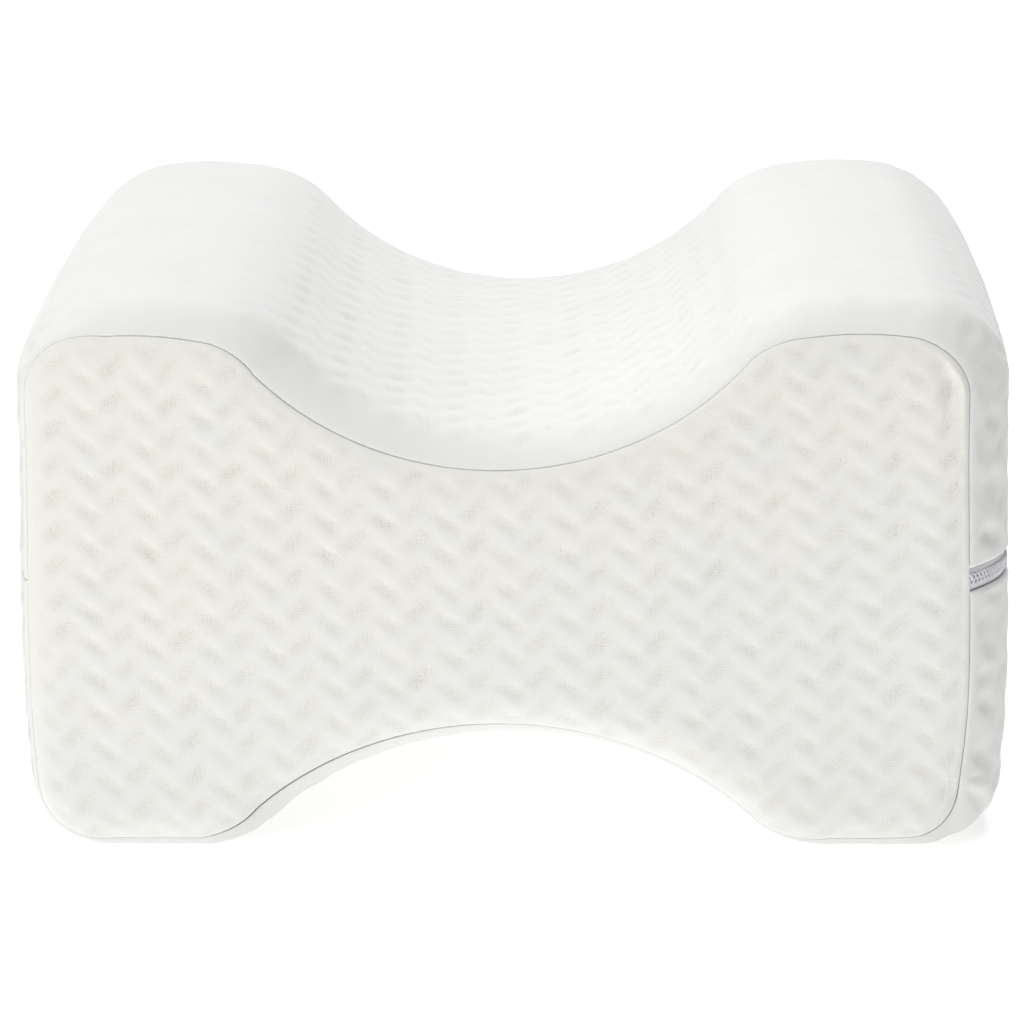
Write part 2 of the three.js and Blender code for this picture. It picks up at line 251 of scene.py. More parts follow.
def mark_cloth(piece, sunk, cream_and_painted_light, cloth):
    """Puts the pits and the share of cream on the mesh as attributes, and the place on the cloth, in
    millimetres, as a UV map. On the end panels the cream share also carries painted warm light."""
    mesh = piece.data
    for label, values in (("pit", sunk), ("cream_and_painted_light", cream_and_painted_light)):
        attribute = mesh.attributes.new(label, "FLOAT", "POINT")
        attribute.data.foreach_set("value", values.ravel().astype(np.float32))
    corner = np.empty(len(mesh.loops), np.int32)
    mesh.loops.foreach_get("vertex_index", corner)
    places = cloth.reshape(-1, 2)[corner].astype(np.float32)
    mesh.uv_layers.new(name="cloth").data.foreach_set("uv", places.ravel())


def quads(near, far):
    """Faces between two rows of vertex numbers, one for each step along them."""
    return np.stack([near[:-1], near[1:], far[1:], far[:-1]], -1).reshape(-1, 4)


# The band's edges. At a seam it rolls over and turns back in as the allowance. At the zip it has a
# folded edge, with the channel for the coil under it.
BAND_PITCH = 0.88
ALLOWANCE_AWAY = np.array([2.5, 0.9, 0.3])
ALLOWANCE_SINK = np.array([3.4, 1.4, 1.15])
SEAM_ROUND = 1.1
SEAM_SINK = 0.8
SEAM_START = 0.05
SEAM_ROLL, ROLL_REACH = 0.45, 2.5
ZIP_HALF = 3.1
FOLD_RADIUS = 1.3
CHANNEL_SINK, CHANNEL_BEVEL = 2.6, 0.3
# The band's surface: how deep the knit's pits go, where they fade out towards the edges and on the
# lobes, and the slack, the gathers and the crumples near the seams.
PLAIN_AT_SEAM = {"top": 2.4, "low": 1.2, "side": 1.2}
FADE_AT_SEAM = {"top": 5.0, "low": 3.8, "side": 3.8}
PLAIN_AT_ZIP = (3.6, 6.5)
BAND_RELIEF, SIDE_RELIEF = 0.5, 0.5
BAND_PROUD, PROUD_FROM = 0.2, (0.5, 5.0)
BAND_SLACK, SLACK_SPACING = 0.12, 46.0
SLACK_AT_SEAM, SLACK_AT_ZIP = (1.0, 14.0), (1.0, 12.0)
LOBE_MIDDLE, LOBE_REACH, LOBE_CALM = 88.0, 34.0, 0.65
PUCKERS = {"top": 0.1, "low": 0.2, "side": 0.8}
PUCKER_SPACING, PUCKER_STRETCH = 7.0, 0.25
NEAR_SEAM, NEAR_FROM = 9.0, (0.5, 3.0)
REAR_SHARE = 0.35
CRUMPLE, CRUMPLE_SPACING = 0.4, 10.0
FOOT_FILL, FILL_FROM = 1.6, (0.0, 14.0)
BAND_COLUMN = (15.4, 0.1)
BAND_ROW = (0.36, -9.4)
BAND_FIRST = (-32.0, 3.5)
BAND_CREAM = 0.12
CORE_DEPTH, CORE_OVERLAP = 79.0, 6.0
SADDLE_MIDDLE = LEFT_SEAM / 2


def seam_end(steps=6):
    """Distances from a seam and sinks there, from the seam outwards: the allowance, which runs back
    in, then a quarter round."""
    turn = np.linspace(0, np.pi / 2, steps)
    away = np.r_[ALLOWANCE_AWAY, SEAM_START + SEAM_ROUND * (1 - np.cos(turn))]
    sink = np.r_[ALLOWANCE_SINK, SEAM_SINK * (1 - np.sin(turn))]
    return away, sink


def zip_end(steps=6):
    """The same at the zip: half the channel's floor, its wall, and the fold's quarter round."""
    turn = np.linspace(0, np.pi / 2, steps)
    away = np.r_[0.02, ZIP_HALF - CHANNEL_BEVEL, ZIP_HALF, ZIP_HALF + FOLD_RADIUS * (1 - np.cos(turn))]
    sink = np.r_[CHANNEL_SINK, CHANNEL_SINK, CHANNEL_SINK - CHANNEL_BEVEL, FOLD_RADIUS * (1 - np.sin(turn))]
    return away, sink


def spread(first, last, pitch):
    """Evenly spread values strictly between two ends, about a pitch apart."""
    return np.linspace(first, last, max(int((last - first) / pitch), 2) + 1)[1:-1]


def band_columns(length):
    """Perimeter distances from the zip's line to the left seam, and how far each column is sunk."""
    zip_away, zip_sink = zip_end()
    seam_away, seam_sink = seam_end()
    middle = spread(zip_away[-1], length - seam_away[-1], BAND_PITCH)
    away = np.r_[zip_away, middle, length - seam_away[::-1]]
    return away, np.r_[zip_sink, np.zeros(len(middle)), seam_sink[::-1]]


def half_body(name, lower):
    """One half of the filled body, over or under the zip's line. Its outer side is a grid of
    perimeter by depth on the band; two rows of points inside the filling close it."""
    away, column_sink = band_columns(AROUND - LEFT_SEAM if lower else LEFT_SEAM)
    perimeter = -away if lower else away
    end_away, end_sink = seam_end()
    middle = spread(end_away[-1], SEAM_DEPTH - end_away[-1], BAND_PITCH)
    depth = np.r_[end_away, middle, SEAM_DEPTH - end_away[::-1]] - SEAM_DEPTH / 2
    row_sink = np.r_[end_sink, np.zeros(len(middle)), end_sink[::-1]]
    around, along = np.meshgrid(perimeter, depth)
    across = SADDLE_MIDDLE - around
    at = outline_at(around)

    from_seam = SEAM_DEPTH / 2 - np.abs(along)
    from_end = np.minimum(np.abs(away[None, :]), (away[-1] - away)[None, :])
    free = smooth(0.0, 1.0, (from_seam - shared(at, PLAIN_AT_SEAM)) / shared(at, FADE_AT_SEAM))
    free *= smooth(*PLAIN_AT_ZIP, from_end)
    calm = LOBE_CALM * at["top"] * np.exp(-((np.abs(at["x"]) - LOBE_MIDDLE) / LOBE_REACH) ** 4)
    sunk = knit_pits(across, along, BAND_COLUMN, BAND_ROW, BAND_FIRST, 11) * free * (1 - calm)
    slack = smooth(*SLACK_AT_SEAM, from_seam) * smooth(*SLACK_AT_ZIP, from_end)
    near = smooth(*NEAR_FROM, from_seam) * np.exp(-(from_seam / NEAR_SEAM) ** 2)
    near *= np.where(along < 0, 1.0, REAR_SHARE)
    pucker = shared(at, PUCKERS) * near * unevenness(across, along * PUCKER_STRETCH, PUCKER_SPACING, 41)
    corner = 4 * at["low"] * at["side"] * (at["x"] > 0)
    lift = BAND_PROUD * smooth(*PROUD_FROM, from_seam) + FOOT_FILL * corner * smooth(*FILL_FROM, from_seam)
    lift -= (BAND_RELIEF + SIDE_RELIEF * at["side"] * near) * sunk
    lift -= column_sink[None, :] + row_sink[:, None]
    lift += SEAM_ROLL * np.exp(-(from_seam / ROLL_REACH) ** 2)
    lift += BAND_SLACK * slack * unevenness(across, along, SLACK_SPACING, 51)
    lift += CRUMPLE * at["side"] ** 2 * near * unevenness(across, along, CRUMPLE_SPACING, 57)
    lift -= pucker * (from_end > ZIP_HALF)
    points = cover(around, along / (SEAM_DEPTH / 2), lift)
    points[..., 2] = np.where(lower, np.maximum(points[..., 2], 0.0), points[..., 2])

    x_inner = np.linspace(points[0, 0, 0] - CORE_OVERLAP, points[0, -1, 0] + CORE_OVERLAP, len(away))
    core = np.stack([np.stack([x_inner, np.full_like(x_inner, y), np.full_like(x_inner, ZIP_HEIGHT)], -1)
                     for y in (CORE_DEPTH, -CORE_DEPTH)])
    rows = np.concatenate([points, core])
    count = len(away)
    number = np.arange(rows.shape[0] * count).reshape(-1, count)
    ring = np.r_[np.arange(rows.shape[0]), 0]
    faces = [np.concatenate([quads(number[k], number[j]) for k, j in zip(ring[:-1], ring[1:])])]
    ends = [number[:, 0], number[::-1, -1]]
    faces += [end[None, :] for end in ends]
    if not lower:
        faces = [f[:, ::-1] for f in faces]
    piece = new_piece(name, rows, faces)
    pits = np.concatenate([sunk, np.zeros((2, count))])
    cloth = np.concatenate([np.stack([across, along], -1), np.zeros((2, count, 2))])
    mark_cloth(piece, pits, np.full(pits.shape, BAND_CREAM), cloth)
    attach(piece, "root")
    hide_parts("filled_body")
    return piece


KNIT_WHITE = (0.86, 0.86, 0.85, 1)
KNIT_CREAM = (0.86, 0.845, 0.805, 1)
PIT_GREY = (0.83, 0.83, 0.81, 1)
PIT_CREAM = (0.84, 0.81, 0.745, 1)
# The holes' colour is painted shade: the mesh's holes are darkened where shade falls inside them.
HOLE_PAINTED_SHADE = (0.74, 0.70, 0.63, 1)
STITCH_PITCH, STITCH_BUMP = 0.62, 0.07
# The last number is how much of the holes' painted shade is mixed in.
HOLE_PITCH, HOLE_BUMP, HOLE_PAINTED_SHADE_SHARE = 0.72, 0.18, 0.34


def knit_material():
    """White knit: an even stitch on the raised zigzag, and a fine open mesh with a cream tint in the
    pits, from the place on the cloth and the pits' depth. The cream share also carries painted warm
    light on the end panels, and the mesh's holes are darkened with painted shade."""
    material = bpy.data.materials.new("white_knit")
    material.use_nodes = True
    nodes, links = material.node_tree.nodes, material.node_tree.links
    shader = nodes["Principled BSDF"]
    for socket, value in (("Roughness", 0.92), ("Specular IOR Level", 0.2), ("Sheen Weight", 0.25),
                          ("Sheen Roughness", 0.6)):
        shader.inputs[socket].default_value = value

    def node(kind, **sockets):
        """A node of that kind, with each named socket linked to an output or set to a value."""
        made = nodes.new(kind)
        for socket, value in sockets.items():
            socket = socket.replace("_", " ")
            if isinstance(value, bpy.types.NodeSocket):
                links.new(value, made.inputs[socket])
            else:
                made.inputs[socket].default_value = value
        return made

    def maths(operation, first, second=0.0):
        """The result of one sum with two numbers or outputs."""
        made = nodes.new("ShaderNodeMath")
        made.operation = operation
        for socket, value in zip(made.inputs, (first, second)):
            if isinstance(value, bpy.types.NodeSocket):
                links.new(value, socket)
            else:
                socket.default_value = value
        return made.outputs[0]

    def ramp(value, low, high, least=0.0, most=1.0):
        """An output's value, taken from one range to another."""
        return node("ShaderNodeMapRange", Value=value, From_Min=low, From_Max=high,
                    To_Min=least, To_Max=most).outputs[0]

    def mix(share, first, second):
        """The first colour, with that share of the second."""
        made = nodes.new("ShaderNodeMix")
        made.data_type = "RGBA"
        for socket, value in ((0, share), (6, first), (7, second)):
            if isinstance(value, bpy.types.NodeSocket):
                links.new(value, made.inputs[socket])
            else:
                made.inputs[socket].default_value = value
        return made.outputs[2]

    cloth = nodes.new("ShaderNodeUVMap")
    cloth.uv_map = "cloth"
    pit = nodes.new("ShaderNodeAttribute")
    pit.attribute_name = "pit"
    pit_share = ramp(pit.outputs["Fac"], 0.1, 1.15)
    cream_and_painted_light = nodes.new("ShaderNodeAttribute")
    cream_and_painted_light.attribute_name = "cream_and_painted_light"

    stitch_place = node("ShaderNodeMapping", Vector=cloth.outputs[0],
                        Scale=(1 / STITCH_PITCH, 1 / (0.8 * STITCH_PITCH), 1))
    stitch = node("ShaderNodeTexVoronoi", Vector=stitch_place.outputs[0], Scale=1.0, Randomness=0.7)
    raised = maths("SUBTRACT", 1.0, pit_share)
    stitch_height = maths("MULTIPLY", maths("SUBTRACT", 1.0, stitch.outputs["Distance"]), raised)
    hole_place = node("ShaderNodeMapping", Vector=cloth.outputs[0], Scale=(1 / HOLE_PITCH, 1 / HOLE_PITCH, 1))
    hole = node("ShaderNodeTexVoronoi", Vector=hole_place.outputs[0], Scale=1.0, Randomness=0.35)
    hole_share = maths("MULTIPLY", ramp(hole.outputs["Distance"], 0.42, 0.2), pit_share)

    tone = node("ShaderNodeTexNoise", Vector=cloth.outputs[0], Scale=0.05, Detail=3.0)
    # The cream share, which holds painted warm light on the end panels, made patchy by the tone.
    cream_and_painted_light_share = maths("MULTIPLY", cream_and_painted_light.outputs["Fac"], ramp(tone.outputs[0], 0.35, 0.65, 0.45, 1.2))
    blotch = node("ShaderNodeTexNoise", Vector=cloth.outputs[0], Scale=0.22, Detail=2.0)
    pit_tint = maths("MULTIPLY", pit_share, ramp(blotch.outputs[0], 0.3, 0.7, 0.5, 1.15))
    tint = mix(pit_tint, mix(cream_and_painted_light_share, KNIT_WHITE, KNIT_CREAM), mix(cream_and_painted_light_share, PIT_GREY, PIT_CREAM))
    # Painted shade in the mesh's holes, by their share.
    tint = mix(maths("MULTIPLY", hole_share, HOLE_PAINTED_SHADE_SHARE), tint, HOLE_PAINTED_SHADE)
    shaded = nodes.new("ShaderNodeVectorMath")
    shaded.operation = "SCALE"
    links.new(tint, shaded.inputs[0])
    links.new(ramp(tone.outputs[0], 0.3, 0.7, 0.975, 1.0), shaded.inputs["Scale"])
    links.new(shaded.outputs[0], shader.inputs["Base Color"])

    stitch_height = maths("MULTIPLY", stitch_height, STITCH_BUMP)
    height = maths("SUBTRACT", stitch_height, maths("MULTIPLY", hole_share, HOLE_BUMP))
    bump = node("ShaderNodeBump", Height=height, Distance=MM, Strength=0.6)
    links.new(bump.outputs[0], shader.inputs["Normal"])
    return material


white_knit = knit_material()
body_upper = half_body("body_upper", lower=False)
body_lower = half_body("body_lower", lower=True)
for half in (body_upper, body_lower):
    half.data.materials.append(white_knit)


# The end panels. Each is one hourglass of the same knit, sewn all round to the boxing band with the
# allowance turned in, so that its rim rounds over into the seam. The front one is lightly bowed.

PANEL_BULGE = 2.0
PANEL_THICKNESS = 2.5
LIP, LIP_POWER = 10.0, 0.62
PANEL_COLUMNS = 500
PANEL_ROWS = 76
SEARCH = 72
SPINE_INWARD = 40.0
SPINE_FOLLOW = 0.42
PANEL_RELIEF = 0.55
SPINE_HALF = 52.0
SPINE_HEIGHT = 70.0
FACE_DEPTH = SEAM_DEPTH / 2 + PANEL_BULGE
RIM_SINK, SINK_REACH = 0.3, 0.4
RIM_GAP = 0.4
LIP_STEPS = np.array([0.0, 0.1, 0.22, 0.36, 0.54, 0.78, 1.1, 1.5, 2.0, 2.6, 3.2])
FRONT_COLUMN = (15.06, 0.17)
FRONT_ROW = (0.27, -8.89)
FRONT_FIRST = (7.0, 67.1)
SIDE_RISE = 3.4
TWIST = 1.4
TOP_RISE = 4.4
TOP_SHIFT = 1.1
CORNER_SPREAD = 7.4
PLAIN_EDGE, PLAIN_REACH, LEFT_PLAIN, LEFT_REACH = 0.4, 2.4, 1.2, 2.6
PANEL_PUCKER, PANEL_PUCKER_SPACING, PANEL_PUCKER_REACH = 0.2, 8.0, 3.0
PANEL_SLACK, PANEL_SLACK_SPACING = 0.15, 52.0
# The cream share on the end panels: the knit's own cream low down, rising with height and towards the left as
# painted warm light from the front left.
CREAM_LOW, CREAM_AND_PAINTED_LIGHT_HIGH = 0.3, 1.0
PAINTED_WARM_LIGHT_HEIGHTS = (40.0, 115.0)
PAINTED_WARM_LIGHT_LEAN = 0.25
# The fold at the front panel's upper right corner: its place on the perimeter, the ridge along the
# seam and the trough beside it, each with its height, its distance from the seam and its width.
FOLD_PLACE, FOLD_REACH = 58.0, 14.0
FOLD_RIDGE, FOLD_TROUGH = (0.9, 1.4, 0.8), (-1.2, 4.4, 2.2)
# The panel's back: two rings in from the rim, how far the first lies under the level, and the least
# way that each keeps behind the seam.
BACK_LEVEL = FACE_DEPTH - PANEL_THICKNESS - 0.8
BACK_INWARD = np.array([[1.2], [LIP]])
BACK_UNDER = np.array([[2.6], [0.0]])
BEHIND_SEAM = np.array([[2.6], [0.6]])


def panel_cloth(x, z):
    """The place on the cloth of a place on the front. The rows rise towards both sides and sink
    towards the top and bottom with the square of the distance, and the corners are drawn outwards."""
    a, b = x / 100, (z - SPINE_HEIGHT) / 100
    across = x + TOP_SHIFT * b * b + CORNER_SPREAD * a * b * b
    return across, z - SIDE_RISE * a * a + TWIST * a * b + TOP_RISE * b * b


def panel(name, node, side, edge, seed):
    """An end panel. Its rows run inwards from the seam: round the lip along the seam's normal, then
    straight to a spine across the middle, which the upper and the lower columns share."""
    half = PANEL_COLUMNS
    perimeter = np.r_[np.linspace(0, LEFT_SEAM, half + 1)[:-1], np.linspace(LEFT_SEAM, AROUND, half + 1)[:-1]]
    at = outline_at(perimeter)
    crown = shared(at, CROWN)
    rim = edge_inset(at, edge) + crown + RIM_GAP

    inward = LIP_STEPS[:, None]
    x_lip = at["x"] - at["nx"] * (rim + inward)
    z_lip = at["z"] - at["nz"] * (rim + inward)
    share = np.linspace(0, 1, half + 1)
    mean_x = (x_lip[-1, :half + 1] + x_lip[-1, np.r_[0, 2 * half - 1:half - 1:-1]]) / 2
    spine_x = SPINE_HALF * (1 - 2 * share) + SPINE_FOLLOW * mean_x
    to_spine = np.linspace(0, 1, PANEL_ROWS + 1)[1:-1, None]
    column = np.r_[0:half + 1, half - 1:0:-1]
    x_in = x_lip[-1] + (spine_x[column] - x_lip[-1]) * to_spine
    z_in = z_lip[-1] + (SPINE_HEIGHT - z_lip[-1]) * to_spine
    x = np.vstack([x_lip, x_in]).ravel()
    z = np.vstack([z_lip, z_in]).ravel()
    x = np.r_[x, spine_x]
    z = np.r_[z, np.full(half + 1, SPINE_HEIGHT)]
    loop = 2 * half
    near = (np.arange(loop)[:, None] + np.arange(-SEARCH, SEARCH + 1, 2)) % loop
    far = np.min([np.hypot(x_in - x_lip[0, k], z_in - z_lip[0, k]) for k in near.T], 0)
    from_seam = np.r_[np.broadcast_to(inward, x_lip.shape).ravel(), far.ravel(),
                      np.full(half + 1, SPINE_INWARD)]
    rows = len(x_lip) + len(x_in)

    seam = np.r_[np.tile(seam_depth(at), rows), np.full(half + 1, SEAM_DEPTH / 2)]
    round_over = (1 - (1 - np.clip(from_seam / LIP, 0, 1)) ** 2) ** LIP_POWER
    around = np.r_[np.tile(perimeter, rows), np.zeros(half + 1)]
    leftish = np.r_[np.tile(at["side"] * (at["x"] < 0), rows), np.zeros(half + 1)]
    u, v = panel_cloth(x, z)
    plain = PLAIN_EDGE + LEFT_PLAIN * leftish
    free = smooth(0.0, 1.0, (from_seam - plain) / (PLAIN_REACH + LEFT_REACH * leftish))
    sunk = knit_pits(side * -u, v, FRONT_COLUMN, FRONT_ROW, FRONT_FIRST, seed) * free
    pucker = unevenness(around, 0 * around, PANEL_PUCKER_SPACING, seed + 5)
    pucker *= np.exp(-from_seam / PANEL_PUCKER_REACH) * smooth(0, 2, from_seam)
    slack = smooth(0.5, 9.0, from_seam) * unevenness(x, z, PANEL_SLACK_SPACING, seed + 6)
    depth = seam + (FACE_DEPTH - seam) * round_over - RIM_SINK * np.exp(-from_seam / SINK_REACH)
    depth -= PANEL_RELIEF * sunk + PANEL_PUCKER * pucker + PANEL_SLACK * slack
    folded = (side < 0) * np.exp(-((around - FOLD_PLACE) / FOLD_REACH) ** 2)
    for height, inwards, width in (FOLD_RIDGE, FOLD_TROUGH):
        depth += folded * height * np.exp(-((from_seam - inwards) / width) ** 2)
    front = np.stack([x, side * depth, z], -1)

    x_back = at["x"] - at["nx"] * (rim + BACK_INWARD)
    z_back = at["z"] - at["nz"] * (rim + BACK_INWARD)
    y_back = np.minimum(BACK_LEVEL - BACK_UNDER, seam_depth(at) - BEHIND_SEAM)
    y_back = np.r_[y_back.ravel(), np.full(half + 1, BACK_LEVEL)]
    back = np.stack([np.r_[x_back.ravel(), spine_x], side * y_back,
                     np.r_[z_back.ravel(), np.full(half + 1, SPINE_HEIGHT)]], -1)

    number = np.arange(rows * loop).reshape(rows, loop)
    spine = rows * loop + column
    behind = len(front) + np.arange(2 * loop).reshape(2, loop)
    spine_behind = len(front) + 2 * loop + column
    order = [*number, spine]
    closed = [np.r_[ring, ring[0]] for ring in order]
    faces = [np.concatenate([quads(a, b) for a, b in zip(closed[:-1], closed[1:])])]
    order = [number[0], *behind, spine_behind]
    closed = [np.r_[ring, ring[0]] for ring in order]
    faces.append(np.concatenate([quads(b, a) for a, b in zip(closed[:-1], closed[1:])]))
    if side > 0:
        faces = [f[:, ::-1] for f in faces]
    piece = new_piece(name, np.concatenate([front, back]), faces)
    pits = np.r_[sunk, np.zeros(len(back))]
    cloth = np.concatenate([np.stack([u, v], -1), np.zeros((len(back), 2))])
    # Painted warm light: the cream share rises with height and towards the left.
    cream_and_painted_light = CREAM_LOW + (CREAM_AND_PAINTED_LIGHT_HIGH - CREAM_LOW) * smooth(*PAINTED_WARM_LIGHT_HEIGHTS, z - PAINTED_WARM_LIGHT_LEAN * x)
    mark_cloth(piece, pits, np.r_[cream_and_painted_light, np.zeros(len(back))], cloth)
    piece.data.materials.append(white_knit)
    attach(piece, "root")
    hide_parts(node)
    return piece


front_panel = panel("front_panel_knit", "front_panel", -1, FRONT_EDGE, 71)
rear_panel = panel("rear_panel_knit", "rear_panel", 1, REAR_EDGE, 83)


# The zip. Two woven tapes are sewn behind the band's folded edges, and between them lie two nylon
# coils, one turn of one behind one turn of the other. It runs from seam to seam on the right.

ZIP_LENGTH = 169.8
TAPE_ABOVE = {"inner": 0.15, "outer": 3.0, "under": -2.0, "over": -0.95}
TAPE_BELOW = {"inner": 0.15, "outer": 2.8, "under": -2.0, "over": -0.95}
COIL_PITCH = 0.95
COIL_OFFSET = 0.6
COIL_HALF_WIDTH = 0.8
COIL_HALF_HEIGHT = 0.32
COIL_LIFT = -0.82
COIL_SHORT = 0.2
THREAD_RADIUS = 0.38
THREAD_SIDES = 5
TURN_STEPS = 12


def swept(name, stations, heights, lifts):
    """A closed bar over the side: a profile of heights and lifts, carried through the stations."""
    profile = np.stack([heights, lifts])
    station, height = np.meshgrid(stations, profile[0], indexing="ij")
    lift = np.broadcast_to(profile[1], station.shape)
    points = cover(height, station, lift)
    number = np.arange(points[..., 0].size).reshape(station.shape)
    closed = np.hstack([number, number[:, :1]])
    faces = [np.concatenate([quads(closed[k], closed[k + 1]) for k in range(len(closed) - 1)])]
    faces += [number[:1], number[-1:, ::-1]]
    return new_piece(name, points, faces)


def rounded_strip(inner, outer, under, over, steps=5):
    """A flat strip's profile with half-round edges, anticlockwise seen along the zip."""
    radius = (over - under) / 2
    turn = np.linspace(-np.pi / 2, np.pi / 2, steps)
    right = np.stack([outer - radius + radius * np.cos(turn), (over + under) / 2 + radius * np.sin(turn)])
    left = np.stack([inner + radius - radius * np.cos(turn), (over + under) / 2 - radius * np.sin(turn)])
    return np.hstack([right, left])


def coil(name, side):
    """One coil: a thread round an ellipse that moves on by its pitch each turn. The ring of the
    thread's own section stands in the two directions square to its way."""
    turns = int(ZIP_LENGTH / COIL_PITCH) - 1
    t = np.linspace(0, turns, turns * TURN_STEPS + 1)
    angle = 2 * np.pi * t + (np.pi if side < 0 else 0.0)
    station = (2 * t / turns - 1) * (ZIP_LENGTH - 2 * COIL_SHORT) / SEAM_DEPTH
    height = side * (COIL_OFFSET + COIL_HALF_WIDTH * np.cos(angle))
    middle = cover(height, station, COIL_LIFT + COIL_HALF_HEIGHT * np.sin(angle))
    way = np.gradient(middle, axis=0)
    way /= np.linalg.norm(way, axis=1)[:, None]
    along = np.array([0.0, 1.0, 0.0])
    first = np.cross(way, along)
    first /= np.linalg.norm(first, axis=1)[:, None]
    second = np.cross(way, first)
    turn = np.arange(THREAD_SIDES) * 2 * np.pi / THREAD_SIDES
    ring = np.cos(turn)[:, None] * first[:, None] + np.sin(turn)[:, None] * second[:, None]
    points = middle[:, None] + THREAD_RADIUS * ring
    number = np.arange(points[..., 0].size).reshape(points.shape[:2])
    closed = np.hstack([number, number[:, :1]])
    faces = [np.concatenate([quads(closed[k], closed[k + 1]) for k in range(len(closed) - 1)])]
    faces += [number[:1, ::-1], number[-1:]]
    piece = new_piece(name, points, faces)
    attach(piece, "root")
    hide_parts("zip_coil")
    return piece


def plain_cloth(name, colour, roughness, pitch, depth):
    """A finely woven or moulded surface: a colour with a faint tone, and a bump of about that pitch."""
    material = bpy.data.materials.new(name)
    material.use_nodes = True
    nodes, links = material.node_tree.nodes, material.node_tree.links
    shader = nodes["Principled BSDF"]
    shader.inputs["Roughness"].default_value = roughness
    place = nodes.new("ShaderNodeTexCoord")
    weave = nodes.new("ShaderNodeTexVoronoi")
    weave.inputs["Scale"].default_value = 1 / (pitch * MM)
    weave.inputs["Randomness"].default_value = 0.3
    tone = nodes.new("ShaderNodeMix")
    tone.data_type = "RGBA"
    tone.inputs[6].default_value = (*colour, 1)
    tone.inputs[7].default_value = (*(0.86 * c for c in colour), 1)
    bump = nodes.new("ShaderNodeBump")
    bump.inputs["Distance"].default_value = depth * MM
    bump.invert = True
    links.new(place.outputs["Object"], weave.inputs["Vector"])
    links.new(weave.outputs["Distance"], tone.inputs[0])
    links.new(weave.outputs["Distance"], bump.inputs["Height"])
    links.new(tone.outputs[2], shader.inputs["Base Color"])
    links.new(bump.outputs[0], shader.inputs["Normal"])
    return material


woven_tape = plain_cloth("grey_tape", (0.82, 0.81, 0.855), 0.75, 0.45, 0.08)
nylon = plain_cloth("grey_nylon", (0.85, 0.84, 0.875), 0.55, 1.7, 0.03)
zip_stations = np.linspace(-1, 1, 140) * ZIP_LENGTH / SEAM_DEPTH
for name, node, side, sizes in (("zip_tape_above", "zip_tape_upper", 1, TAPE_ABOVE),
                                ("zip_tape_below", "zip_tape_lower", -1, TAPE_BELOW)):
    strip = rounded_strip(**sizes)
    tape = swept(name, zip_stations, (side * strip[0])[::side], strip[1][::side])
    tape.data.materials.append(woven_tape)
    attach(tape, "root")
    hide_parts(node)
for name, side in (("zip_coil_above", 1), ("zip_coil_below", -1)):
    coil(name, side).data.materials.append(nylon)


# The slider. It is cast metal with a pale enamel: a plate over the coil with rounded edges, a low
# bridge along it, and a flat pull that hangs from the bridge by its slot, down over the lower fold.

SLIDER_STATION = 0.84
PLATE = {"half_length": 4.4, "half_width": 2.45, "under": -0.2, "over": 0.95, "bevel": 0.35,
         "power": 2.6, "taper": 0.18, "dome": 0.12, "top_ring": 0.4}
BRIDGE = {"half_length": 3.0, "half_width": 0.7, "thick": 0.45, "over": 1.9, "sunk": 0.1, "power": 0.6}
PULL = {"half_width": 2.0, "length": 20.0, "thick": 0.9, "bevel": 0.22, "droop": 1.4}
SLOT = {"half_width": 1.05, "low": 0.9, "high": 3.6}
ROUND_STEPS = 40


def over_side(along, height, lift):
    """A place over the zip: millimetres along it from the slider's middle, up, and out."""
    return cover(height, SLIDER_STATION + along / (SEAM_DEPTH / 2), lift)


def closed_rings(name, rings):
    """A body from rings of points that lead from one end to the other, with both ends closed."""
    number = np.arange(rings[..., 0].size).reshape(rings.shape[:2])
    closed = np.hstack([number, number[:, :1]])
    faces = [np.concatenate([quads(a, b) for a, b in zip(closed[:-1], closed[1:])])]
    return new_piece(name, rings, faces + [number[:1, ::-1], number[-1:]], smooth_shaded=False)


def slider_plate():
    """The plate: an ellipse with a higher power, narrower at one end, whose rings go up its side and
    in over the bevel, and then end in a small top ring."""
    angle = np.linspace(0, 2 * np.pi, ROUND_STEPS + 1)[:-1]
    power = 2 / PLATE["power"]
    along = PLATE["half_length"] * np.sign(np.cos(angle)) * np.abs(np.cos(angle)) ** power
    wide = PLATE["half_width"] * np.sign(np.sin(angle)) * np.abs(np.sin(angle)) ** power
    wide = wide * (1 - PLATE["taper"] * along / PLATE["half_length"])
    turn = np.linspace(0, np.pi / 2, 5)
    shrink = np.r_[0.0, PLATE["bevel"] * (1 - np.cos(turn)), PLATE["half_width"] - PLATE["top_ring"]]
    edge = PLATE["over"] - PLATE["bevel"] * (1 - np.sin(turn))
    lift = np.r_[PLATE["under"], edge, PLATE["over"] + PLATE["dome"]]
    share = 1 - shrink[:, None] / PLATE["half_width"]
    rings = over_side(along * share, wide * share, lift[:, None] + 0 * along)
    return closed_rings("slider_plate", rings)


def slider_bridge():
    """The bridge: a rounded bar whose middle goes up, along and down a flattened half ellipse."""
    turn = np.linspace(np.pi, 0, 25)
    along = BRIDGE["half_length"] * np.cos(turn)
    foot = PLATE["over"] - BRIDGE["sunk"]
    lift = foot + (BRIDGE["over"] - BRIDGE["thick"] / 2 - foot) * np.sin(turn) ** BRIDGE["power"]
    angle = np.linspace(0, 2 * np.pi, 13)[:-1]
    wide = BRIDGE["half_width"] * np.cos(angle)
    tall = BRIDGE["thick"] / 2 * np.sin(angle)
    slope = np.arctan2(np.gradient(lift), np.gradient(along))[:, None]
    tipped = lift[:, None] + tall * np.cos(slope)
    rings = over_side(along[:, None] - tall * np.sin(slope), wide + 0 * slope, tipped)
    return closed_rings("slider_bridge", rings)


